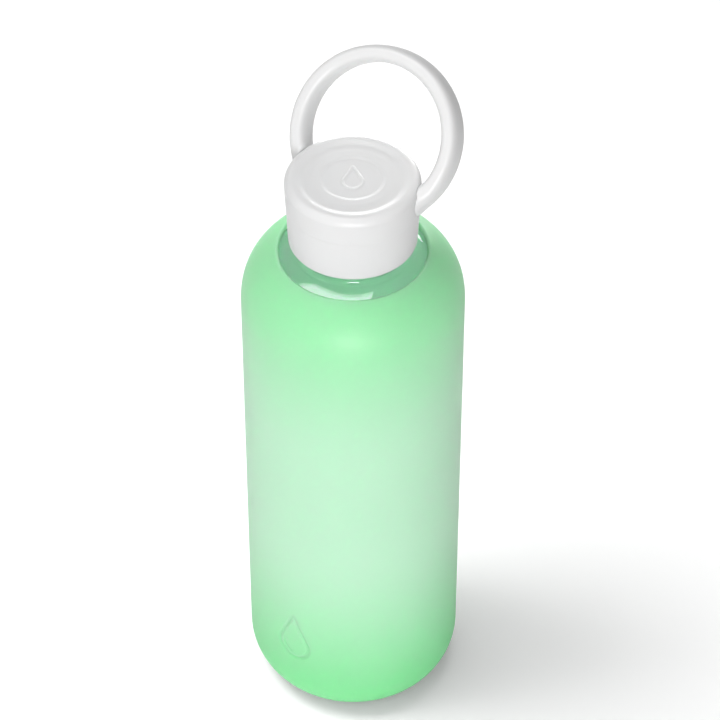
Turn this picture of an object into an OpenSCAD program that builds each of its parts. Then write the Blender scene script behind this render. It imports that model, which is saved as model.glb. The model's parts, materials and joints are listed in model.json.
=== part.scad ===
// Glass water bottle in a silicone sleeve, closed by a screw cap with a carry loop.
// Millimetres. +Z is up and the origin is the centre of the base.
// The loop stands across X and leans back towards +Y.

/* [Sleeve] */
// Outer diameter of the straight wall
sleeve_d = 89; // [86:0.5:92]
// Thickness of the silicone
sleeve_wall = 2; // [1.6:0.1:2.4]
// Horizontal size of the rounded bottom corner
corner_w = 17; // [14:0.5:20]
// Height of the rounded bottom corner
corner_h = 20; // [16:0.5:26]
// Height where the shoulder starts
shoulder_z = 207.2; // [180:0.2:215]
// Radius around which the shoulder curve closes in
shoulder_in_r = 10.4; // [9:0.1:12]
// Height of the full shoulder curve
shoulder_h = 30.7; // [28:0.1:33]
// Squareness of the shoulder curve, where 2 is an ellipse
shoulder_power = 2.24; // [2:0.02:2.5]
// Radius of the opening that shows the glass
opening_r = 30.7; // [28:0.1:33]

/* [Glass] */
// Thickness of the glass wall
glass_wall = 3; // [2.5:0.1:3.5]
// Thickness of the glass base
glass_base = 7.5; // [5:0.5:10]
// Rise of the hollow under the base
punt_h = 1.6; // [1:0.1:3]
// Outer radius of the neck
neck_r = 21.5; // [21:0.1:21.6]
// Radius of the mouth
mouth_r = 19; // [17:0.1:19.2]
// Height of the rim
rim_z = 263; // [262:0.5:263]

/* [Thread] */
// Rise of the cap in one turn
thread_lead = 8; // [8:1:10]
// Number of thread starts
thread_starts = 2; // [1:1:2]
// Turns covered by each ridge
thread_turns = 1.25; // [0.75:0.25:1.25]
// How far a ridge stands out from its wall
thread_depth = 1; // [0.6:0.1:1]
// Width of a ridge at its root
thread_root_w = 1.9; // [1.4:0.1:2]
// Width of a ridge at its crest
thread_crest_w = 0.9; // [0.6:0.1:1]

/* [Cap] */
// Height of the cap's lower edge
cap_z = 239.8; // [239.5:0.1:240.5]
// Height of the cap's top
cap_top_z = 270.4; // [270:0.1:271]
// Outer radius at the lower edge
cap_low_r = 25.5; // [25.3:0.1:26]
// Outer radius below the top edge
cap_high_r = 26.5; // [26:0.1:27]
// Radius of the rounded top edge
cap_edge_r = 3.2; // [2:0.1:4]
// Radius inside the raised rim
cap_dish_r = 20.2; // [19:0.1:21]
// Depth of the dish inside the raised rim
cap_dish_h = 0.8; // [0.4:0.1:1]
// Radius of the round recess in the middle
cap_recess_r = 12.1; // [10:0.1:14]
// Depth of the round recess
cap_recess_h = 0.4; // [0.3:0.1:0.6]
// Inner radius of the cap's shell
shell_in_r = 24; // [23.8:0.1:24.2]

/* [Loop] */
// Radius of the loop's centre line
loop_r = 31.4; // [30:0.1:33]
// Thickness of the band, measured along the radius
loop_t = 6.7; // [5:0.1:8]
// Width of the band
loop_w = 13.6; // [10:0.1:15]
// Rounding of the band's edges
loop_round = 2.5; // [1:0.1:3]
// Angle by which the loop leans back from upright
loop_lean = 38; // [34:1:42]
// Height where the loop's plane crosses the cap's axis
loop_foot_z = 252; // [251:0.5:254]

/* [Hidden] */
$fn = 96;
mint = [0.68, 0.88, 0.76];
clear_green = [0.75, 0.9, 0.84, 0.5];
white_plastic = [0.95, 0.95, 0.94];
liner_white = [0.88, 0.88, 0.87];
seal_white = [0.96, 0.96, 0.96, 0.8];

sleeve_r = sleeve_d / 2;
shoulder_w = sleeve_r - shoulder_in_r;
curve_k = 2 / shoulder_power;
curve_steps = 14;
lip_swell = 1.6;                        // degrees of shoulder by which the lip rounds out
glass_d = sleeve_wall + 0.1;            // depth of the glass below the sleeve's outside
inner_d = glass_d + glass_wall;
floor_z = sleeve_wall + glass_base;
inner_corner_z = corner_h + 6;
neck_fillet = 2.5;
thread_z = 247;                         // centre of the neck's first ridge at its lower end
thread_step = thread_lead / thread_starts;
thread_seg = 48;
liner_gap = 1.4;                        // from the neck's wall to the liner's wall
liner_r = neck_r + liner_gap;
liner_z = cap_z + 1.2;
gasket_t = 1.9;
gasket_z = rim_z + 0.15;
liner_top_z = gasket_z + gasket_t + 0.1;
shell_top_z = 267.4;
loop_up = loop_r + 0.1;                 // from the crossing point to the loop's centre

// A point on the shoulder, at a depth below the sleeve's outer surface
function shoulder_point(depth, a) = [
    shoulder_in_r + (shoulder_w - depth) * pow(cos(a), curve_k),
    shoulder_z + (shoulder_h - depth) * pow(sin(a), curve_k)
];

// The shoulder's points between two angles
function shoulder(depth, a0, a1) = [
    for (i = [0:curve_steps]) shoulder_point(depth, a0 + (a1 - a0) * i / curve_steps)
];

// The angle at which the shoulder reaches a radius
function shoulder_angle(depth, r) =
    acos(pow((r - shoulder_in_r) / (shoulder_w - depth), 1 / curve_k));

// The rounded bottom corner, from a floor up to the straight wall
function corner(depth, floor_z, top_z) = [
    for (i = [0:curve_steps]) let (a = -90 + 90 * i / curve_steps)
        [sleeve_r - corner_w + (corner_w - depth) * cos(a), top_z + (top_z - floor_z) * sin(a)]
];

// An arc about a centre
function arc(cx, cz, r, a0, a1, steps) = [
    for (i = [0:steps]) let (a = a0 + (a1 - a0) * i / steps) [cx + r * cos(a), cz + r * sin(a)]
];

// A smooth step from one height to another
function ease(r0, z0, r1, z1, steps) = [
    for (i = [0:steps]) let (t = i / steps) [r0 + (r1 - r0) * t, z0 + (z1 - z0) * (1 - cos(180 * t)) / 2]
];

function backwards(list) = [for (i = [len(list) - 1:-1:0]) list[i]];

// One helical ridge. A positive depth stands outwards and a negative one inwards.
module thread_ridge(root_r, depth, z, start) {
    steps = round(thread_turns * thread_seg);
    fade = 5;
    half = depth > 0 ? 1 : -1;
    sink = 0.3 * half;
    points = [
        for (i = [0:steps])
            let (a = start + 360 * i / thread_seg)
            let (grow = min(1, (i + 0.5) / fade, (steps - i + 0.5) / fade))
            let (crest = root_r + depth * grow)
            let (rise = z + thread_lead * i / thread_seg)
            for (p = [
                [root_r - sink, -thread_root_w / 2 * half],
                [crest, -thread_crest_w / 2 * half],
                [crest, thread_crest_w / 2 * half],
                [root_r - sink, thread_root_w / 2 * half]
            ]) [p[0] * cos(a), p[0] * sin(a), rise + p[1]]
    ];
    sides = [
        for (i = [0:steps - 1], j = [0:3])
            let (a = 4 * i + j, b = 4 * i + (j + 1) % 4)
            [a, b, b + 4, a + 4]
    ];
    last = 4 * steps;
    polyhedron(points, concat(sides, [[3, 2, 1, 0]], [[last, last + 1, last + 2, last + 3]]), convexity = 10);
}

// All starts of one thread
module thread(root_r, depth, z) {
    for (k = [0:thread_starts - 1])
        thread_ridge(root_r, depth, z, 360 * k / thread_starts);
}

module silicone_sleeve() {
    lip_a = shoulder_angle(0, opening_r);
    lip = [
        for (i = [1:5]) let (t = i / 6)
            shoulder_point(sleeve_wall * (1 - cos(180 * t)) / 2, lip_a + lip_swell * sin(180 * t))
    ];
    color(mint) rotate_extrude() polygon(concat(
        [[0, 0]],
        corner(0, 0, corner_h),
        shoulder(0, 0, lip_a),
        lip,
        shoulder(sleeve_wall, lip_a, 0),
        backwards(corner(sleeve_wall, sleeve_wall, corner_h)),
        [[0, sleeve_wall]]
    ));
}

module glass_bottle() {
    fillet_r = neck_r + neck_fillet;
    fillet_a = shoulder_angle(glass_d, fillet_r);
    fillet_z = shoulder_point(glass_d, fillet_a)[1] + neck_fillet;
    rim_r = (neck_r - mouth_r) / 2;
    punt_r = sleeve_r - corner_w - 4;
    color(clear_green) {
        rotate_extrude() polygon(concat(
            backwards(ease(punt_r, sleeve_wall, 0, sleeve_wall + punt_h, 8)),
            corner(glass_d, sleeve_wall, corner_h),
            shoulder(glass_d, 0, fillet_a),
            arc(fillet_r, fillet_z, neck_fillet, 270, 180, 5),
            arc(mouth_r + rim_r, rim_z - rim_r, rim_r, 0, 180, 8),
            shoulder(inner_d, shoulder_angle(inner_d, mouth_r), 0),
            backwards(corner(inner_d, floor_z, inner_corner_z)),
            [[0, floor_z]]
        ));
        thread(neck_r, thread_depth, thread_z);
    }
}

// The cap's outer outline, from the lower edge to the middle of the top
function cap_outline() = let (
    low_round = 0.6,
    edge_c = cap_high_r - cap_edge_r,
    dish_z = cap_top_z - cap_dish_h,
    plate_z = dish_z + 0.2,
    recess_z = plate_z - cap_recess_h
) concat(
    arc(cap_low_r - low_round, cap_z + low_round, low_round, -90, 0, 4),
    arc(edge_c, cap_top_z - cap_edge_r, cap_edge_r, 0, 90, 8),
    ease(edge_c - 1.4, cap_top_z, cap_dish_r, dish_z, 6),
    ease(cap_dish_r - 0.6, dish_z, cap_dish_r - 2, plate_z, 4),
    ease(cap_recess_r + 0.4, plate_z, cap_recess_r - 0.4, recess_z, 4),
    [[0, recess_z]]
);

module cap_shell() {
    color(white_plastic) rotate_extrude() polygon(concat(
        cap_outline(),
        [[0, shell_top_z], [shell_in_r, shell_top_z], [shell_in_r, cap_z]]
    ));
}

module cap_liner() {
    side_gap = 0.05;
    color(liner_white) {
        rotate_extrude() polygon([
            [0, liner_top_z],
            [liner_r, liner_top_z],
            [liner_r, liner_z],
            [shell_in_r - side_gap, liner_z],
            [shell_in_r - side_gap, shell_top_z],
            [0, shell_top_z]
        ]);
        thread(liner_r, -thread_depth, thread_z - thread_step / 2);
    }
}

module cap_gasket() {
    in_r = mouth_r - 0.7;
    out_r = liner_r - 0.5;
    color(seal_white) rotate_extrude() translate([in_r, gasket_z]) square([out_r - in_r, gasket_t]);
}

// The loop's full ring, leaning back, before the cap is cut out of it
module loop_ring() {
    in_x = loop_r - loop_t / 2 + loop_round;
    out_x = loop_r + loop_t / 2 - loop_round;
    edge_y = loop_w / 2 - loop_round;
    translate([0, loop_up * sin(loop_lean), loop_foot_z + loop_up * cos(loop_lean)])
        rotate([90 - loop_lean, 0, 0])
            rotate_extrude() polygon(concat(
                arc(out_x, edge_y, loop_round, 0, 90, 6),
                arc(in_x, edge_y, loop_round, 90, 180, 6),
                arc(in_x, -edge_y, loop_round, 180, 270, 6),
                arc(out_x, -edge_y, loop_round, 270, 360, 6)
            ));
}

module carry_loop() {
    color(white_plastic) difference() {
        loop_ring();
        rotate_extrude() polygon(concat(cap_outline(), [[0, cap_z]]));
    }
}

silicone_sleeve();
glass_bottle();
cap_shell();
cap_liner();
cap_gasket();
carry_loop();
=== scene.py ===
import json
import math

import bpy
import numpy as np
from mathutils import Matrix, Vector

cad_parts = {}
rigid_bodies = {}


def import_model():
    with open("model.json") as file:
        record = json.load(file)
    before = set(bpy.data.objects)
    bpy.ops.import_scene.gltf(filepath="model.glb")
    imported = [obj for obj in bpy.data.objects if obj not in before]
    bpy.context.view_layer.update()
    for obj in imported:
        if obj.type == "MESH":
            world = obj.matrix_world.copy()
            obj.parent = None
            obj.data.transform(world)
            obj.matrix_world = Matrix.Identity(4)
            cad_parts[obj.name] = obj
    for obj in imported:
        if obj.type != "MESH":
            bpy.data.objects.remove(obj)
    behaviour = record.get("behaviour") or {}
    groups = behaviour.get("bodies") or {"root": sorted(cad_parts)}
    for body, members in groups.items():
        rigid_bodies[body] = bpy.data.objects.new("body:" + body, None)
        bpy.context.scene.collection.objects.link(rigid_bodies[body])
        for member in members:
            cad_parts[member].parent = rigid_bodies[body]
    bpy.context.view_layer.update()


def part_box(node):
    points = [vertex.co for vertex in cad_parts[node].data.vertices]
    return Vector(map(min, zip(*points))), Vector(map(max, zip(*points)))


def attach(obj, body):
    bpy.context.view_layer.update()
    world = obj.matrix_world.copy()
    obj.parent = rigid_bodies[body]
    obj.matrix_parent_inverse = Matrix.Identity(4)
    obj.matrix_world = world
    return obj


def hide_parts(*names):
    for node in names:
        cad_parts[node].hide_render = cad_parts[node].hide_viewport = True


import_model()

mm = 0.001
fullTurn = 2 * math.pi


# Profiles: points (r, z) of an outline, joined one after another.

def arcOf(centreR, centreZ, radiusR, radiusZ, startDeg, endDeg, count):
    # Points of an ellipse's arc: centre plus (radiusR cos a, radiusZ sin a), a in even steps.
    a = np.radians(np.linspace(startDeg, endDeg, count))
    return np.stack([centreR + radiusR * np.cos(a), centreZ + radiusZ * np.sin(a)], axis=1)


def easeOf(r0, z0, r1, z1, count):
    # A smooth step: r goes evenly from r0 to r1 while z follows half a cosine from z0 to z1.
    t = np.linspace(0, 1, count)
    return np.stack([r0 + (r1 - r0) * t, z0 + (z1 - z0) * (1 - np.cos(math.pi * t)) / 2], axis=1)


def lineOf(*corners):
    # Corners joined by straight lines.
    return np.array(corners, float)


def respace(points, count, weight):
    # Walks along a polyline and puts count points on it, so that each gap holds the same weighted length.
    gaps = np.linalg.norm(np.diff(points, axis=0), axis=1)
    middles = (points[1:] + points[:-1]) / 2
    walked = np.concatenate([[0], np.cumsum(gaps * weight(middles))])
    stops = np.linspace(0, walked[-1], count)
    return np.stack([np.interp(stops, walked, points[:, k]) for k in range(points.shape[1])], axis=1)


def refine(points, longest):
    # Cuts every stretch of a polyline into equal pieces no longer than a limit.
    parts = []
    for start, end in zip(points[:-1], points[1:]):
        steps = max(1, int(np.ceil(np.linalg.norm(end - start) / longest)))
        parts.append(start + (end - start) * np.linspace(0, 1, steps, endpoint=False)[:, None])
    return np.concatenate(parts + [points[-1:]])


def smooth(edge0, edge1, value):
    # 0 below the first edge, 1 above the second, and 3 t^2 - 2 t^3 between them.
    t = np.clip((value - edge0) / (edge1 - edge0), 0, 1)
    return t * t * (3 - 2 * t)


def teardrop(u, v, radius, height):
    # Signed distance to a drop: a circle about (0, 0), with its two tangents through (0, height).
    lean = radius / height
    slope = math.sqrt(1 - lean * lean)
    x = np.abs(u)
    along = slope * v - lean * x
    toCircle = np.hypot(x, v) - radius
    toTip = np.hypot(x, v - height)
    toSide = slope * x + lean * v - radius
    return np.where(along < 0, toCircle, np.where(along > slope * height, toTip, toSide))


def lineAt(distance, flat, fade):
    # 1 on a line and as far as the flat distance from it, falling to 0 at the fade distance.
    return 1 - smooth(flat, fade, np.abs(distance))


# Surfaces: a grid of points, one row for each profile point and one column for each angle.

def anglesOf(count, focus=None, halfWidth=0.3, gain=0.0):
    # Angles once round, closer together by 1 + gain near the focus angle, within halfWidth of it.
    fine = np.linspace(0, fullTurn, 7201)  # every twentieth of a degree
    density = np.ones_like(fine)
    if focus is not None:
        away = np.angle(np.exp(1j * (fine - focus)))
        density = 1 + gain * np.exp(-(away / halfWidth) ** 6)
    walked = np.concatenate([[0], np.cumsum((density[1:] + density[:-1]) / 2)])
    return np.interp(np.linspace(0, walked[-1], count, endpoint=False), walked, fine)


def latheGrid(profile, angles):
    # The profile (r, z) at every angle, as three arrays r, theta and z.
    r = profile[:, 0][:, None] * np.ones_like(angles)[None, :]
    z = profile[:, 1][:, None] * np.ones_like(angles)[None, :]
    return r, angles[None, :] * np.ones_like(r), z


def placeGrid(r, theta, z):
    # (r cos theta, r sin theta, z)
    return np.stack([r * np.cos(theta), r * np.sin(theta), z], axis=2)


def quadsOf(rows, columns, ringRows=False):
    # One quad between neighbours. Columns close on themselves, and rows too with ringRows.
    i = np.arange(rows if ringRows else rows - 1)[:, None]
    j = np.arange(columns)[None, :]
    nextI, nextJ = (i + 1) % rows, (j + 1) % columns
    corners = (i * columns + j, i * columns + nextJ, nextI * columns + nextJ, nextI * columns + j)
    return np.stack(corners, axis=2).reshape(-1, 4).tolist()


def fanOf(ring, tip):
    # Triangles from a ring of points to one tip.
    return np.stack([np.full(len(ring), tip), ring, np.roll(ring, -1)], axis=1).tolist()


def addMesh(name, points, faces, material):
    # A smooth-shaded mesh in an object at the origin.
    mesh = bpy.data.meshes.new(name)
    mesh.from_pydata(points.tolist(), [], faces)
    mesh.validate()
    mesh.polygons.foreach_set("use_smooth", np.ones(len(mesh.polygons), bool))
    mesh.materials.append(material)
    mesh.update()
    thing = bpy.data.objects.new(name, mesh)
    bpy.context.scene.collection.objects.link(thing)
    return thing


def skin(name, grid, body, material, stands, ringRows=False, poles=None):
    # Turns a grid into one sealed piece: open ends are closed by a fan to the first and last pole.
    rows, columns = grid.shape[:2]
    points = grid.reshape(-1, 3)
    faces = quadsOf(rows, columns, ringRows)
    if poles:
        ring = np.arange(columns)
        faces += fanOf(ring[::-1], len(points))
        faces += fanOf((rows - 1) * columns + ring, len(points) + 1)
        points = np.vstack([points, poles])
    piece = addMesh(name, points, faces, material)
    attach(piece, body)
    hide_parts(stands)
    print("made", name, len(faces), "faces")


# Materials.

def addNode(tree, kind, sockets=None, **settings):
    # A node with its settings, and start values for the sockets that nothing is wired to.
    node = tree.nodes.new(kind)
    for key, value in settings.items():
        setattr(node, key, value)
    for key, value in (sockets or {}).items():
        node.inputs[key].default_value = value
    return node


def smoothRange(tree, low, high, start=0.0, end=1.0):
    # A smooth step from start to end while the value goes from low to high.
    sockets = {"From Min": low, "From Max": high, "To Min": start, "To Max": end}
    return addNode(tree, "ShaderNodeMapRange", sockets, interpolation_type="SMOOTHSTEP")


def mixOf(tree, factor, a, b):
    # A colour mix. Each side is a socket to wire or a plain colour.
    mix = addNode(tree, "ShaderNodeMix", data_type="RGBA")
    tree.links.new(factor, mix.inputs["Factor"])
    for key, side in (("A", a), ("B", b)):
        if isinstance(side, tuple):
            mix.inputs[key].default_value = (*side, 1)
        else:
            tree.links.new(side, mix.inputs[key])
    return mix.outputs["Result"]


def productOf(tree, a, b):
    # The product of two sockets.
    times = addNode(tree, "ShaderNodeMath", operation="MULTIPLY")
    tree.links.new(a, times.inputs[0])
    tree.links.new(b, times.inputs[1])
    return times.outputs[0]


def newMaterial(name):
    # A material with its node tree and its Principled shader.
    material = bpy.data.materials.new(name)
    material.use_nodes = True
    tree = material.node_tree
    return material, tree, tree.nodes["Principled BSDF"]


def makeMouldedGrain():
    # Fine texture of a moulded surface: a sandblasted grain, a slow flow tone and a few fine dust specks.
    group = bpy.data.node_groups.new("mouldedGrain", "ShaderNodeTree")
    link = group.links.new
    for label, kind, side in (
        ("Color", "NodeSocketColor", "INPUT"),
        ("Flow Color", "NodeSocketColor", "INPUT"),
        ("Flow Amount", "NodeSocketFloat", "INPUT"),
        ("Grain Scale", "NodeSocketFloat", "INPUT"),
        ("Roughness", "NodeSocketFloat", "INPUT"),
        ("Roughness Spread", "NodeSocketFloat", "INPUT"),
        ("Speck Amount", "NodeSocketFloat", "INPUT"),
        ("Color", "NodeSocketColor", "OUTPUT"),
        ("Roughness", "NodeSocketFloat", "OUTPUT"),
        ("Height", "NodeSocketFloat", "OUTPUT"),
    ):
        group.interface.new_socket(label, in_out=side, socket_type=kind)
    given = addNode(group, "NodeGroupInput")
    result = addNode(group, "NodeGroupOutput")
    where = addNode(group, "ShaderNodeTexCoord")

    grain = addNode(group, "ShaderNodeTexNoise", {"Detail": 3, "Roughness": 0.6})
    link(where.outputs["Object"], grain.inputs["Vector"])
    link(given.outputs["Grain Scale"], grain.inputs["Scale"])

    flow = addNode(group, "ShaderNodeTexNoise", {"Scale": 22, "Detail": 2, "Distortion": 0.6})
    link(where.outputs["Object"], flow.inputs["Vector"])
    flowMask = addNode(group, "ShaderNodeMapRange", {"From Min": 0.35, "From Max": 0.65})
    link(flow.outputs["Fac"], flowMask.inputs["Value"])
    flowShare = productOf(group, flowMask.outputs["Result"], given.outputs["Flow Amount"])
    toned = mixOf(group, flowShare, given.outputs["Color"], given.outputs["Flow Color"])

    dust = addNode(group, "ShaderNodeTexVoronoi", {"Scale": 260})
    link(where.outputs["Object"], dust.inputs["Vector"])
    dustMask = addNode(group, "ShaderNodeMapRange", {"From Min": 0.10, "From Max": 0.04})
    link(dust.outputs["Distance"], dustMask.inputs["Value"])
    dustShare = productOf(group, dustMask.outputs["Result"], given.outputs["Speck Amount"])
    dusty = mixOf(group, dustShare, toned, (0.95, 0.95, 0.93))

    centred = addNode(group, "ShaderNodeMath", {1: 0.5}, operation="SUBTRACT")
    link(grain.outputs["Fac"], centred.inputs[0])
    varied = addNode(group, "ShaderNodeMath", operation="MULTIPLY_ADD")
    link(centred.outputs[0], varied.inputs[0])
    link(given.outputs["Roughness Spread"], varied.inputs[1])
    link(given.outputs["Roughness"], varied.inputs[2])

    link(dusty, result.inputs["Color"])
    link(varied.outputs[0], result.inputs["Roughness"])
    link(grain.outputs["Fac"], result.inputs["Height"])
    return group


mouldedGrain = makeMouldedGrain()


def paintedGlowByHeight(tree, color, finish):
    # Painted glow and shade: the wall is painted paler above the bottle's thick base, standing in for light
    # shining through the translucent wall. It deepens a little again over the shoulder and stays deeper
    # towards the bottom, as painted shade.
    link = tree.links.new
    where = addNode(tree, "ShaderNodeTexCoord")
    axes = addNode(tree, "ShaderNodeSeparateXYZ")
    above = smoothRange(tree, finish["paleFrom"], finish["paleTo"])
    shoulder = smoothRange(tree, finish["shoulderFrom"], finish["shoulderTo"], 1.0, finish["shoulderPale"])
    link(where.outputs["Object"], axes.inputs["Vector"])
    link(axes.outputs["Z"], above.inputs["Value"])
    link(axes.outputs["Z"], shoulder.inputs["Value"])
    share = productOf(tree, above.outputs["Result"], shoulder.outputs["Result"])
    return mixOf(tree, share, color, finish["paintedGlowColor"])


def paleInside(tree, color, finish):
    # Light on its way through the wall and the bottle meets a paler colour, which keeps the inside bright.
    # Diffuse light from the floor and the cap meets a greyer one, so that they catch less green.
    path = addNode(tree, "ShaderNodeLightPath")
    passed = mixOf(tree, path.outputs["Is Diffuse Ray"], finish["innerColor"], finish["bounceColor"])
    return mixOf(tree, path.outputs["Is Camera Ray"], passed, color)


def mouldedMaterial(name, finish):
    # A moulded plastic or silicone: grain, flow tone and dust feed one Principled shader, and a finish may
    # add a painted glow and shade by height.
    material, tree, shader = newMaterial(name)
    link = tree.links.new
    effect = addNode(tree, "ShaderNodeGroup", {
        "Color": (*finish["color"], 1),
        "Flow Color": (*finish["flowColor"], 1),
        "Flow Amount": finish["flow"],
        "Grain Scale": finish["grainScale"],
        "Roughness": finish["roughness"],
        "Roughness Spread": finish["spread"],
        "Speck Amount": finish["specks"],
    }, node_tree=mouldedGrain)
    bump = addNode(tree, "ShaderNodeBump", {"Strength": finish["bump"], "Distance": finish["bumpDepth"]})
    color = effect.outputs["Color"]
    # Painted glow and shade: paler up the wall's middle, deeper at the bottom and over the shoulder.
    if "paintedGlowColor" in finish:
        color = paintedGlowByHeight(tree, color, finish)
    if "innerColor" in finish:
        color = paleInside(tree, color, finish)
    link(color, shader.inputs["Base Color"])
    link(effect.outputs["Roughness"], shader.inputs["Roughness"])
    link(effect.outputs["Height"], bump.inputs["Height"])
    link(bump.outputs["Normal"], shader.inputs["Normal"])
    for socket, value in finish["shader"].items():
        shader.inputs[socket].default_value = value
    return material


siliconeFinish = {
    "color": (0.15, 0.66, 0.22),
    "flowColor": (0.135, 0.65, 0.205),
    "innerColor": (0.58, 0.97, 0.65),
    "bounceColor": (0.62, 0.70, 0.64),
    # Painted glow and shade by height: the paler colour, where it comes in above the bottom, and how much of
    # it the shoulder keeps.
    "paintedGlowColor": (0.40, 0.91, 0.465),
    "paleFrom": -8 * mm,
    "paleTo": 105 * mm,
    "shoulderFrom": 150 * mm,
    "shoulderTo": 242 * mm,
    "shoulderPale": 0.45,
    "flow": 0.5,
    "grainScale": 1800,
    "roughness": 0.48,
    "spread": 0.12,
    "specks": 0.05,
    "bump": 0.12,
    "bumpDepth": 0.2 * mm,
    "shader": {
        "Subsurface Weight": 1.0,
        "Subsurface Radius": (0.62, 1.0, 0.7),
        "Subsurface Scale": 10.2 * mm,
        "IOR": 1.41,
    },
}

plasticFinish = {
    "color": (0.59, 0.59, 0.59),
    "flowColor": (0.56, 0.565, 0.57),
    "flow": 0.4,
    "grainScale": 2600,
    "roughness": 0.42,
    "spread": 0.12,
    "specks": 0.04,
    "bump": 0.10,
    "bumpDepth": 0.12 * mm,
    "shader": {
        "Subsurface Weight": 0.3,
        "Subsurface Radius": (1.0, 0.95, 0.9),
        "Subsurface Scale": 3 * mm,
        "IOR": 1.49,
    },
}

linerFinish = dict(plasticFinish, color=(0.80, 0.80, 0.79), flowColor=(0.76, 0.76, 0.76), roughness=0.5)

sealFinish = dict(
    plasticFinish,
    color=(0.85, 0.86, 0.85),
    flowColor=(0.8, 0.82, 0.81),
    roughness=0.5,
    shader={
        "Subsurface Weight": 0.6,
        "Subsurface Radius": (1.0, 1.0, 1.0),
        "Subsurface Scale": 3 * mm,
        "IOR": 1.41,
    },
)

glassFinish = {
    "tint": (0.97, 0.995, 0.985),
    "smudgeTint": (0.95, 0.98, 0.97),
    "smudgeFrom": 0.52,
    "smudgeTo": 0.72,
    "smudgeRoughness": 0.06,
    "rippleStrength": 0.25,
    "rippleDepth": 0.12 * mm,
    "IOR": 1.5,
}


def glassMaterial(name, finish):
    # Blown glass: almost clear, with a slow ripple and faint smudges that dull it a little.
    material, tree, shader = newMaterial(name)
    link = tree.links.new
    where = addNode(tree, "ShaderNodeTexCoord")
    ripple = addNode(tree, "ShaderNodeTexNoise", {"Scale": 60, "Detail": 1})
    smudge = addNode(tree, "ShaderNodeTexNoise", {"Scale": 90, "Detail": 5, "Distortion": 1.2})
    smudgeMask = addNode(tree, "ShaderNodeMapRange", {
        "From Min": finish["smudgeFrom"],
        "From Max": finish["smudgeTo"],
        "To Max": finish["smudgeRoughness"],
    })
    bump = addNode(tree, "ShaderNodeBump", {
        "Strength": finish["rippleStrength"],
        "Distance": finish["rippleDepth"],
    })
    link(where.outputs["Object"], ripple.inputs["Vector"])
    link(where.outputs["Object"], smudge.inputs["Vector"])
    link(smudge.outputs["Fac"], smudgeMask.inputs["Value"])
    link(ripple.outputs["Fac"], bump.inputs["Height"])
    tint = mixOf(tree, smudge.outputs["Fac"], finish["tint"], finish["smudgeTint"])
    link(tint, shader.inputs["Base Color"])
    link(smudgeMask.outputs["Result"], shader.inputs["Roughness"])
    link(bump.outputs["Normal"], shader.inputs["Normal"])
    shader.inputs["Transmission Weight"].default_value = 1.0
    shader.inputs["IOR"].default_value = finish["IOR"]
    return material


sleeveSilicone = mouldedMaterial("sleeveSilicone", siliconeFinish)
capPlastic = mouldedMaterial("capPlastic", plasticFinish)
linerPlastic = mouldedMaterial("linerPlastic", linerFinish)
sealSilicone = mouldedMaterial("sealSilicone", sealFinish)
bottleGlass = glassMaterial("bottleGlass", glassFinish)
print("materials made")


# The outline that the sleeve and the bottle share. A depth is a distance in from the sleeve's outside.

sleeveLow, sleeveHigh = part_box("silicone_sleeve")
glassLow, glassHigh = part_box("glass_bottle")
capLow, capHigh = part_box("cap_shell")
linerLow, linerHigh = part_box("cap_liner")
gasketLow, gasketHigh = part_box("cap_gasket")

axisHole = 0.4 * mm  # the first row's radius about a pole

barrel = {
    "radius": sleeveHigh.x,
    "cornerWidth": 17 * mm,
    "cornerHeight": 20 * mm,
    "shoulderStart": 207.2 * mm,
    "shoulderHeight": 30.7 * mm,
    "shoulderInside": 10.4 * mm,
    "shoulderPower": 2.24,
}


def shoulderAt(depth, angle):
    # A superellipse quarter: r = inside + (width - depth) cos^k a, z = start + (height - depth) sin^k a,
    # with k = 2 / power.
    k = 2 / barrel["shoulderPower"]
    a = np.atleast_1d(angle)
    width = barrel["radius"] - barrel["shoulderInside"] - depth
    r = barrel["shoulderInside"] + width * np.cos(a) ** k
    z = barrel["shoulderStart"] + (barrel["shoulderHeight"] - depth) * np.sin(a) ** k
    return np.stack([r, z], axis=1)


def shoulderReach(depth, r):
    # The angle at which the shoulder has come in to a radius.
    share = (r - barrel["shoulderInside"]) / (barrel["radius"] - barrel["shoulderInside"] - depth)
    return math.acos(share ** (barrel["shoulderPower"] / 2))


def cornerOf(depth, floorZ, topZ, count=60):
    # The rounded lower corner, a quarter ellipse from the floor out to the wall.
    centre = barrel["radius"] - barrel["cornerWidth"]
    return arcOf(centre, topZ, barrel["cornerWidth"] - depth, topZ - floorZ, -90, 0, count)


sleeve = {
    "wall": 2 * mm,
    "opening": 30.7 * mm,
    "lipSwell": math.radians(1.6),
    "centreHole": 4 * mm,
    "rows": 330,
    "insideRows": 0.35,  # how thickly the rows lie inside, with 1 outside
    "dropRows": 5,  # more rows near the drop, within its reach
    "dropReach": 19 * mm,
    "dropMiddle": 5 * mm,  # the drop's middle, above its circle's
    "lipRows": 4,
    "lipReach": 4 * mm,
    "columns": 250,
    "dropColumns": 4,
    "dropSpan": 0.24,
    "dropAngle": math.radians(-97),
    "dropZ": 40 * mm,
    "dropRadius": 7.4 * mm,
    "dropHeight": 17.5 * mm,
    "lineFlat": 0.225 * mm,
    "lineFade": 1.2 * mm,
    "lineDepth": 0.5 * mm,
    "insetRadius": 4.6 * mm,
    "insetRight": -0.6 * mm,
    "insetTop": 1.4 * mm,
    "insetFlat": 0.15 * mm,
    "insetFade": 1.05 * mm,
    "insetShare": 0.8,
}


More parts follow.
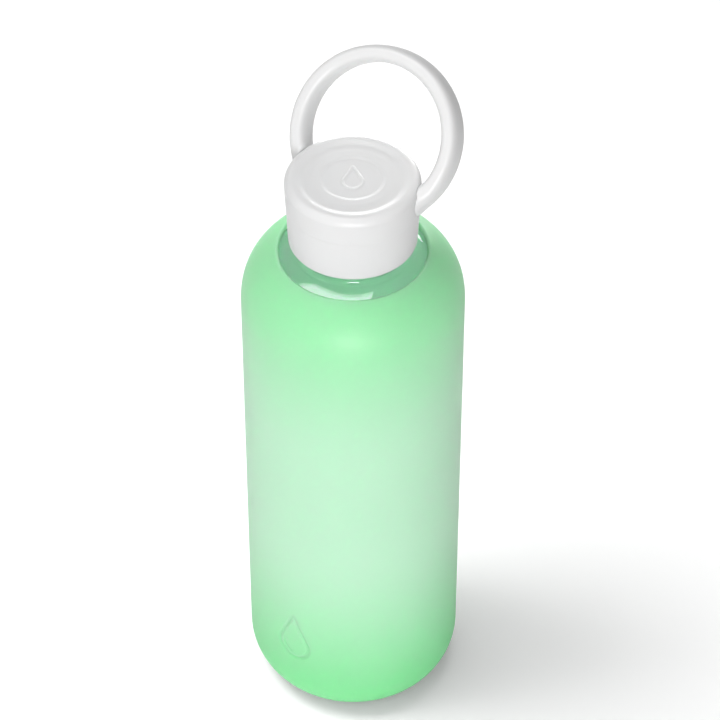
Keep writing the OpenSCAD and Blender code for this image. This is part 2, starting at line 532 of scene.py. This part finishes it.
def makeSleeve():
    # The outline runs up the outside, over the rounded lip, down the inside and back to the axis.
    wall = sleeve["wall"]
    lipAngle = shoulderReach(0, sleeve["opening"])
    t = np.linspace(0, 1, 24)[1:-1]
    lipDepth = wall * (1 - np.cos(math.pi * t)) / 2
    swell = sleeve["lipSwell"] * np.sin(math.pi * t)
    lip = np.concatenate([shoulderAt(depth, lipAngle + more) for depth, more in zip(lipDepth, swell)])
    outline = np.concatenate([
        lineOf((sleeve["centreHole"], 0)),
        cornerOf(0, 0, barrel["cornerHeight"]),
        shoulderAt(0, np.linspace(0, lipAngle, 90)),
        lip,
        shoulderAt(wall, np.linspace(lipAngle, 0, 90)),
        cornerOf(wall, wall, barrel["cornerHeight"])[::-1],
        lineOf((sleeve["centreHole"], wall)),
    ])
    outline = refine(outline, 0.6 * mm)
    half = len(outline) // 2

    def weight(middles):
        # Rows crowd round the pressed drop and the lip, and are sparse inside.
        outside = np.arange(len(middles)) < half
        z = middles[:, 1]
        nearDrop = np.exp(-((z - sleeve["dropZ"] - sleeve["dropMiddle"]) / sleeve["dropReach"]) ** 6)
        nearLip = np.exp(-((z - sleeveHigh.z) / sleeve["lipReach"]) ** 2)
        rows = np.where(outside, 1 + sleeve["dropRows"] * nearDrop, sleeve["insideRows"])
        return rows + sleeve["lipRows"] * nearLip

    profile = respace(outline, sleeve["rows"], weight)
    angles = anglesOf(sleeve["columns"], sleeve["dropAngle"], sleeve["dropSpan"], sleeve["dropColumns"])
    r, theta, z = latheGrid(profile, angles)

    # A drop-shaped line pressed into the outside, with a small crescent inside it.
    away = np.angle(np.exp(1j * (theta - sleeve["dropAngle"])))
    u, v = barrel["radius"] * away, z - sleeve["dropZ"]
    edge = teardrop(u, v, sleeve["dropRadius"], sleeve["dropHeight"])
    inset = np.hypot(u, v) - sleeve["insetRadius"]
    onEdge = lineAt(edge, sleeve["lineFlat"], sleeve["lineFade"])
    onInset = lineAt(inset, sleeve["insetFlat"], sleeve["insetFade"])
    onCrescent = onInset * (u < sleeve["insetRight"]) * (v < sleeve["insetTop"])
    onOutside = (np.arange(len(profile)) < np.argmax(profile[:, 1]))[:, None]
    r = r - sleeve["lineDepth"] * np.maximum(onEdge, sleeve["insetShare"] * onCrescent) * onOutside
    skin("sleeve", placeGrid(r, theta, z), "bottle", sleeveSilicone, "silicone_sleeve",
         poles=((0, 0, 0), (0, 0, wall)))


makeSleeve()

glass = {
    "gap": 0.1 * mm,
    "wall": 3 * mm,
    "base": 7.5 * mm,
    "punt": 1.6 * mm,
    "puntMargin": 4 * mm,
    "innerCorner": 6 * mm,
    "neckRadius": 21.5 * mm,
    "mouthRadius": 19 * mm,
    "neckFillet": 2.5 * mm,
    "rows": 420,
    "bodyRows": 0.5,  # how thickly the rows lie on the body, and how many more on the neck
    "neckRowsOutside": 9,
    "neckRowsInside": 2,
    "neckBlend": 4 * mm,
    "columns": 200,
}

thread = {
    "lead": 8 * mm,
    "starts": 2,
    "turns": 1.25,
    "depth": 1 * mm,
    "rootHalf": 0.95 * mm,
    "crestHalf": 0.4 * mm,
    "firstZ": 247 * mm,
    "fade": 0.1,
}


def threadRise(theta, z, firstZ):
    # How far a ridge stands out at (theta, z), from 0 to 1. Each ridge's centre climbs one lead a turn:
    # centre = firstZ + lead * turns so far, and the ridge has sloping flanks and fades out at both ends.
    rise = np.zeros_like(z)
    fade, turns = thread["fade"], thread["turns"]
    for start in range(thread["starts"]):
        share = np.mod(theta / fullTurn - start / thread["starts"], 1)
        for lap in (0, 1):
            turned = share + lap
            off = np.abs(z - firstZ - thread["lead"] * turned)
            flank = 1 - smooth(thread["crestHalf"], thread["rootHalf"], off)
            ends = smooth(0, fade, turned) * (1 - smooth(turns - fade, turns, turned))
            rise = np.maximum(rise, flank * ends)
    return rise


def makeBottle():
    # The outline runs from under the base, up the outside, over the rim and down the inside to the floor.
    outer = sleeve["wall"] + glass["gap"]
    inner = outer + glass["wall"]
    floorZ = glassLow.z + glass["base"]
    puntZ = glassLow.z + glass["punt"]
    neckR, mouthR, fillet = glass["neckRadius"], glass["mouthRadius"], glass["neckFillet"]
    filletR = neckR + fillet
    filletAngle = shoulderReach(outer, filletR)
    filletZ = shoulderAt(outer, filletAngle)[0, 1] + fillet
    rimHalf = (neckR - mouthR) / 2
    puntR = barrel["radius"] - barrel["cornerWidth"] - glass["puntMargin"]
    outline = np.concatenate([
        easeOf(puntR, glassLow.z, axisHole, puntZ, 20)[::-1],
        cornerOf(outer, glassLow.z, barrel["cornerHeight"], 40),
        shoulderAt(outer, np.linspace(0, filletAngle, 70)),
        arcOf(filletR, filletZ, fillet, fillet, 270, 180, 16),
        arcOf(mouthR + rimHalf, glassHigh.z - rimHalf, rimHalf, rimHalf, 0, 180, 24),
        shoulderAt(inner, np.linspace(shoulderReach(inner, mouthR), 0, 70)),
        cornerOf(inner, floorZ, barrel["cornerHeight"] + glass["innerCorner"], 40)[::-1],
        lineOf((axisHole, floorZ)),
    ])
    outline = refine(outline, 0.5 * mm)
    half = len(outline) // 2

    def weight(middles):
        # Rows crowd on the threaded neck.
        outside = np.arange(len(middles)) < half
        neck = smooth(filletZ - glass["neckBlend"], filletZ, middles[:, 1])
        return glass["bodyRows"] + np.where(outside, glass["neckRowsOutside"], glass["neckRowsInside"]) * neck

    profile = respace(outline, glass["rows"], weight)
    r, theta, z = latheGrid(profile, anglesOf(glass["columns"]))
    onNeck = (np.arange(len(profile)) < np.argmax(profile[:, 1]))[:, None]
    r = r + thread["depth"] * threadRise(theta, z, thread["firstZ"]) * onNeck
    skin("bottle", placeGrid(r, theta, z), "bottle", bottleGlass, "glass_bottle",
         poles=((0, 0, puntZ), (0, 0, floorZ)))


makeBottle()

cap = {
    "lowRadius": 25.5 * mm,
    "highRadius": 26.5 * mm,
    "lowRound": 0.6 * mm,
    "edgeRound": 3.2 * mm,
    "dishRadius": 20.2 * mm,
    "dishDepth": 0.8 * mm,
    "dishSlope": (0.4 * mm, 1.2 * mm),  # from this far inside the rounded edge to this far inside the dish
    "plateRise": 0.2 * mm,
    "plateSlope": (1.8 * mm, 5 * mm),  # from and to this far inside the dish
    "recessRadius": 12.1 * mm,
    "recessDepth": 0.4 * mm,
    "recessSlope": (1.3 * mm, 1.1 * mm),  # from this far outside the recess to this far inside it
    "centreHole": 0.3 * mm,
    "insideRadius": 24 * mm,
    "insideTop": 267.4 * mm,
    "ceilingBevel": 0.3 * mm,
    "mouthBevel": 0.2 * mm,
    "wallFrom": 25 * mm,
    "partingZ": 258.2 * mm,
    "partingStep": 0.12 * mm,
    "markAngle": math.radians(27.8),
    "markRadius": 3.9 * mm,
    "markHeight": 9 * mm,
    "markForward": 1.8 * mm,
    "markFlat": 0.2 * mm,
    "markFade": 0.8 * mm,
    "markRise": 0.22 * mm,
    "rowsOutside": 315,
    "topRows": 2,  # more rows on the top and its edge
    "topBand": 5 * mm,
    "rowsInside": 105,
    "columns": 220,
}


def capRadius(z):
    # The cap's tapering wall, a straight line from the low radius to the high one.
    low, high = capLow.z + cap["lowRound"], capHigh.z - cap["edgeRound"]
    return np.interp(z, [low, high], [cap["lowRadius"], cap["highRadius"]])


def makeCap():
    # One closed outline: from the middle of the inside's ceiling, down the bore, round the lower edge,
    # up the wall, over the rim and across the dished top to its middle.
    top = capHigh.z
    edgeR = cap["highRadius"] - cap["edgeRound"]
    dishR, recessR, boreR = cap["dishRadius"], cap["recessRadius"], cap["insideRadius"]
    hole, ceilingZ, bevel = cap["centreHole"], cap["insideTop"], cap["ceilingBevel"]
    dishZ = top - cap["dishDepth"]
    plateZ = dishZ + cap["plateRise"]
    recessZ = plateZ - cap["recessDepth"]
    lowR, lowZ = cap["lowRadius"] - cap["lowRound"], capLow.z + cap["lowRound"]
    outline = np.concatenate([
        lineOf((boreR + cap["mouthBevel"], capLow.z)),
        arcOf(lowR, lowZ, cap["lowRound"], cap["lowRound"], -90, 0, 12),
        arcOf(edgeR, top - cap["edgeRound"], cap["edgeRound"], cap["edgeRound"], 0, 90, 40),
        easeOf(edgeR - cap["dishSlope"][0], top, dishR - cap["dishSlope"][1], dishZ, 30),
        easeOf(dishR - cap["plateSlope"][0], dishZ, dishR - cap["plateSlope"][1], plateZ, 20),
        easeOf(recessR + cap["recessSlope"][0], plateZ, recessR - cap["recessSlope"][1], recessZ, 20),
        lineOf((hole, recessZ)),
    ])
    bore = lineOf(
        (hole, ceilingZ),
        (boreR - bevel, ceilingZ),
        (boreR, ceilingZ - bevel),
        (boreR, capLow.z + cap["mouthBevel"]),
    )

    def weight(middles):
        # Rows crowd on the top and its rounded edge.
        return 1 + cap["topRows"] * (middles[:, 1] > top - cap["topBand"])

    outside = respace(refine(outline, 0.3 * mm), cap["rowsOutside"], weight)
    inside = respace(refine(bore, 0.5 * mm), cap["rowsInside"], lambda m: np.ones(len(m)))

    # The mould's parting line: the wall is a little narrower below it.
    step = cap["partingStep"]
    below = 1 - smooth(cap["partingZ"] - step, cap["partingZ"] + step, outside[:, 1])
    outside[:, 0] -= step * below * (outside[:, 0] > cap["wallFrom"])

    profile = np.concatenate([inside, outside])
    r, theta, z = latheGrid(profile, anglesOf(cap["columns"]))

    # A raised line in the shape of a drop on the recess's floor.
    u = r * np.cos(theta - cap["markAngle"])
    v = r * np.sin(theta - cap["markAngle"])
    mark = teardrop(u, v + cap["markForward"], cap["markRadius"], cap["markHeight"])
    onTop = (np.arange(len(profile)) >= len(inside))[:, None] & (r < recessR)
    z = z + cap["markRise"] * lineAt(mark, cap["markFlat"], cap["markFade"]) * onTop
    skin("capShell", placeGrid(r, theta, z), "cap", capPlastic, "cap_shell",
         poles=((0, 0, ceilingZ), (0, 0, z[-1].mean())))


makeCap()

liner = {
    "innerRadius": 22.9 * mm,
    "sideGap": 0.05 * mm,
    "ceiling": 265.15 * mm,
    "ceilingRound": 0.8 * mm,
    "topRound": 0.3 * mm,
    "boreMargin": 0.1 * mm,
    "rows": 260,
    "rowsOutside": 0.6,  # how thickly the rows lie outside and inside
    "rowsInside": 3.0,
    "columns": 200,
}


def makeLiner():
    # The outline goes from the top's middle down the outside, round the lower edge and up the threaded
    # inside to the ceiling's middle. It is turned the other way round to face outwards.
    outerR, innerR = cap["insideRadius"] - liner["sideGap"], liner["innerRadius"]
    edge = (outerR - innerR) / 2
    rounding, topRound = liner["ceilingRound"], liner["topRound"]
    outline = np.concatenate([
        lineOf((axisHole, linerHigh.z), (outerR - topRound, linerHigh.z), (outerR, linerHigh.z - topRound)),
        arcOf(innerR + edge, linerLow.z + edge, edge, edge, 0, -180, 16),
        arcOf(innerR - rounding, liner["ceiling"] - rounding, rounding, rounding, 0, 90, 10),
        lineOf((axisHole, liner["ceiling"])),
    ])
    outline = refine(outline, 0.4 * mm)
    lowest = np.argmin(outline[:, 1])

    def weight(middles):
        # Rows crowd on the threaded inside.
        inside = np.arange(len(middles)) > lowest
        return np.where(inside, liner["rowsInside"], liner["rowsOutside"])

    profile = respace(outline, liner["rows"], weight)[::-1]
    r, theta, z = latheGrid(profile, anglesOf(liner["columns"]))
    onInside = (np.arange(len(profile)) < np.argmin(profile[:, 1]))[:, None]
    onBore = onInside & (r > innerR - liner["boreMargin"])
    between = thread["lead"] / thread["starts"] / 2  # its ridges run in the gaps of the neck's
    r = r - thread["depth"] * threadRise(theta, z, thread["firstZ"] - between) * onBore
    skin("capLiner", placeGrid(r, theta, z), "cap", linerPlastic, "cap_liner",
         poles=((0, 0, liner["ceiling"]), (0, 0, linerHigh.z)))


gasket = {
    "innerRadius": 18.3 * mm,
    "round": 0.35 * mm,
    "cornerLift": 0.1 * mm,
    "bottomPoints": 80,
    "ribWaves": 3,
    "ribHeight": 0.12 * mm,
    "columns": 160,
}


def makeGasket():
    # A flat ring with rounded corners. Fine ribs below it rise by height * cos^2 where the cosine is above 0,
    # with a few waves from the inner edge to the outer.
    innerR, outerR = gasket["innerRadius"], gasketHigh.x
    low, high, rounding = gasketLow.z, gasketHigh.z, gasket["round"]
    lowCorner = low + rounding + gasket["cornerLift"]
    bottomR = np.linspace(innerR + rounding, outerR - rounding, gasket["bottomPoints"])
    across = (bottomR - innerR) / (outerR - innerR)
    wave = np.cos(across * gasket["ribWaves"] * fullTurn)
    ribs = gasket["ribHeight"] * np.maximum(0, wave) ** 2
    bottom = np.stack([bottomR, low + gasket["ribHeight"] - ribs], axis=1)
    outline = np.concatenate([
        bottom,
        arcOf(outerR - rounding, lowCorner, rounding, rounding, -80, 0, 6),
        arcOf(outerR - rounding, high - rounding, rounding, rounding, 0, 90, 8),
        arcOf(innerR + rounding, high - rounding, rounding, rounding, 90, 180, 8),
        arcOf(innerR + rounding, lowCorner, rounding, rounding, 180, 260, 6),
    ])
    r, theta, z = latheGrid(outline, anglesOf(gasket["columns"]))
    skin("gasket", placeGrid(r, theta, z), "seal", sealSilicone, "cap_gasket", ringRows=True)


makeLiner()
makeGasket()

loop = {
    "radius": 31.4 * mm,
    "thickness": 6.7 * mm,
    "width": 13.6 * mm,
    "squareness": 2.9,
    "lean": math.radians(38),
    "footZ": 252 * mm,
    "centreUp": 31.5 * mm,
    "startDeg": 46,
    "flare": 0.9 * mm,
    "flareReach": 3.5 * mm,
    "sink": 0.9 * mm,
    "rows": 260,
    "columns": 72,
}


def makeLoop():
    # A rounded band carried round a leaning circle: the centre line is
    # centre + radius (sin p, -cos p up the plane), and the section is a superellipse
    # |a / halfThickness|^n + |b / halfWidth|^n = 1, with a along the radius and b across the plane.
    up = np.array([0, math.sin(loop["lean"]), math.cos(loop["lean"])])
    across = np.array([0, math.cos(loop["lean"]), -math.sin(loop["lean"])])
    centre = np.array([0, 0, loop["footZ"]]) + loop["centreUp"] * up
    p = np.radians(np.linspace(loop["startDeg"], 360 - loop["startDeg"], loop["rows"]))[:, None, None]
    q = np.linspace(0, fullTurn, loop["columns"], endpoint=False)[None, :, None]
    power = 2 / loop["squareness"]
    a = loop["thickness"] / 2 * np.sign(np.cos(q)) * np.abs(np.cos(q)) ** power
    b = loop["width"] / 2 * np.sign(np.sin(q)) * np.abs(np.sin(q)) ** power
    outward = np.sin(p) * np.array([1, 0, 0]) - np.cos(p) * up
    middle = centre + loop["radius"] * outward
    side = a * outward + b * across
    grid = middle + side

    # The band flares where it meets the cap's wall, and ends just inside the wall.
    clear = np.hypot(grid[..., 0], grid[..., 1]) - capRadius(grid[..., 2])
    near = np.clip(1 - clear / loop["flareReach"], 0, 1) ** 2
    grid = grid + side / np.linalg.norm(side, axis=2, keepdims=True) * (loop["flare"] * near)[..., None]
    reach = np.hypot(grid[..., 0], grid[..., 1])
    keep = np.maximum(reach, capRadius(grid[..., 2]) - loop["sink"]) / reach
    grid[..., :2] *= keep[..., None]
    skin("carryLoop", grid, "cap", capPlastic, "carry_loop",
         poles=(grid[0].mean(axis=0), grid[-1].mean(axis=0)))


makeLoop()

floorFinish = {
    "rings": (8, 2, 0.5, 0.1),
    "columns": 64,
    "gap": 0.05 * mm,
    "bounce": 0.9,
    "lift": 0.06,
}


def makeFloor():
    # A flat disc of rings, wide enough to fill every view.
    material, tree, shader = newMaterial("paperFloor")
    shader.inputs["Roughness"].default_value = 1.0
    shader.inputs["Specular IOR Level"].default_value = 0.0
    shader.inputs["Emission Color"].default_value = (1, 1, 1, 1)
    # The paper is seen bright, and throws less light back on the bottle than it shows.
    path = addNode(tree, "ShaderNodeLightPath")
    tone = mixOf(tree, path.outputs["Is Camera Ray"], (floorFinish["bounce"],) * 3, (1.0, 1.0, 1.0))
    lift = addNode(tree, "ShaderNodeMath", {1: floorFinish["lift"]}, operation="MULTIPLY")
    tree.links.new(path.outputs["Is Camera Ray"], lift.inputs[0])
    tree.links.new(tone, shader.inputs["Base Color"])
    tree.links.new(lift.outputs[0], shader.inputs["Emission Strength"])
    rings = lineOf(*[(r, sleeveLow.z - floorFinish["gap"]) for r in floorFinish["rings"]])
    grid = placeGrid(*latheGrid(rings, anglesOf(floorFinish["columns"])))
    rows, columns = grid.shape[:2]
    middle = list(range((rows - 1) * columns, rows * columns))
    floor = addMesh("floor", grid.reshape(-1, 3), quadsOf(rows, columns) + [middle], material)


# Turns are round the bottle from the camera's azimuth, in degrees: -90 is on the viewer's left. Distances
# and sizes are in metres. A softbox lights everything, unless it is kept off some pieces or is only for some.

view = {
    "azimuth": 27.8,
    "elevation": 44.0,
    "distance": 1.335,
    "lens": 165.05,
    "sensor": 36,
    "aimRight": 2.77 * mm,
    "aimHeight": 172.54 * mm,
}

sky = {
    "brightSide": -135,
    "bright": 0.7,
    "dim": 0.28,
    "horizon": 1.0,
    "zenith": 0.9,
}

softboxes = {
    "topBox": {
        "turn": -90,
        "up": 78,
        "away": 1.0,
        "aimZ": 0.23,
        "size": (0.45, 0.95),
        "watts": 6.5,
    },
    "keyBox": {
        "turn": 0,
        "up": 14,
        "away": 1.2,
        "aimZ": 0.14,
        "size": (0.4, 0.4),
        "watts": 12,
        "keptOff": ["floor"],
    },
    "floorBox": {
        "turn": -92,
        "up": 64,
        "away": 1.6,
        "aimZ": 0.0,
        "size": (0.7, 0.7),
        "watts": 8.5,
        "onlyFor": ["floor"],
    },
    "backBox": {
        "turn": 172,
        "up": 14,
        "away": 1.1,
        "aimZ": 0.12,
        "size": (0.9, 0.35),
        "watts": 10,
        "keptOff": ["floor", "carryLoop"],
    },
}


def facing(turn, up):
    # The direction from the bottle towards a place turned from the camera's azimuth, and raised.
    a, e = math.radians(view["azimuth"] + turn), math.radians(up)
    return Vector((math.sin(a) * math.cos(e), -math.cos(a) * math.cos(e), math.sin(e)))


def aimAlong(thing, target, direction, distance):
    # Stands a lamp or camera off from its target and turns it back to look at it.
    thing.location = target + direction * distance
    thing.rotation_euler = direction.to_track_quat("Z", "Y").to_euler()
    bpy.context.scene.collection.objects.link(thing)


def flag(box, state, names):
    # A flag at the lamp keeps its light off the named objects, or lets it through to them only.
    shaded = bpy.data.collections.new(box.name + "Flag")
    for count, name in enumerate(names):
        shaded.objects.link(bpy.data.objects[name])
        shaded.collection_objects[count].light_linking.link_state = state
    box.light_linking.receiver_collection = shaded


def addSoftbox(name, given):
    # A rectangular lamp that the camera doesn't see.
    lamp = bpy.data.lights.new(name, "AREA")
    lamp.shape = "RECTANGLE"
    lamp.size, lamp.size_y = given["size"]
    lamp.energy = given["watts"]
    box = bpy.data.objects.new(name, lamp)
    box.visible_camera = False
    aimAlong(box, Vector((0, 0, given["aimZ"])), facing(given["turn"], given["up"]), given["away"])
    if "keptOff" in given:
        flag(box, "EXCLUDE", given["keptOff"])
    if "onlyFor" in given:
        flag(box, "INCLUDE", given["onlyFor"])


def makeSky():
    # Strength slopes from the bright side to the dim side, times a slope from the horizon to the zenith.
    world = bpy.data.worlds.new("studio")
    bpy.context.scene.world = world
    world.use_nodes = True
    tree = world.node_tree
    link = tree.links.new
    where = addNode(tree, "ShaderNodeTexCoord")
    side = addNode(tree, "ShaderNodeVectorMath", {1: facing(sky["brightSide"], 0)}, operation="DOT_PRODUCT")
    slope = addNode(tree, "ShaderNodeMapRange", {
        "From Min": -1,
        "To Min": sky["dim"],
        "To Max": sky["bright"],
    })
    axes = addNode(tree, "ShaderNodeSeparateXYZ")
    height = addNode(tree, "ShaderNodeMapRange", {"To Min": sky["horizon"], "To Max": sky["zenith"]})
    background = tree.nodes["Background"]
    background.inputs["Color"].default_value = (1, 1, 1, 1)
    link(where.outputs["Generated"], side.inputs[0])
    link(where.outputs["Generated"], axes.inputs["Vector"])
    link(axes.outputs["Z"], height.inputs["Value"])
    link(side.outputs["Value"], slope.inputs["Value"])
    both = productOf(tree, slope.outputs["Result"], height.outputs["Result"])
    link(both, background.inputs["Strength"])


def makeCamera():
    # Looks from the view's azimuth and elevation at a point a little to the right of the axis.
    lens = bpy.data.cameras.new("mainCamera")
    lens.lens = view["lens"]
    lens.sensor_width = view["sensor"]
    lens.clip_start, lens.clip_end = 0.05, 50
    camera = bpy.data.objects.new("mainCamera", lens)
    right = -facing(-90, 0)
    aim = view["aimRight"] * right + Vector((0, 0, view["aimHeight"]))
    aimAlong(camera, aim, facing(0, view["elevation"]), view["distance"])
    bpy.context.scene.camera = camera


makeFloor()
makeSky()
for name, given in softboxes.items():
    addSoftbox(name, given)
makeCamera()
scene = bpy.context.scene
scene.view_settings.view_transform = "Standard"
scene.cycles.max_bounces = 24
scene.cycles.diffuse_bounces = 8
scene.cycles.transmission_bounces = 20
print("studio made")
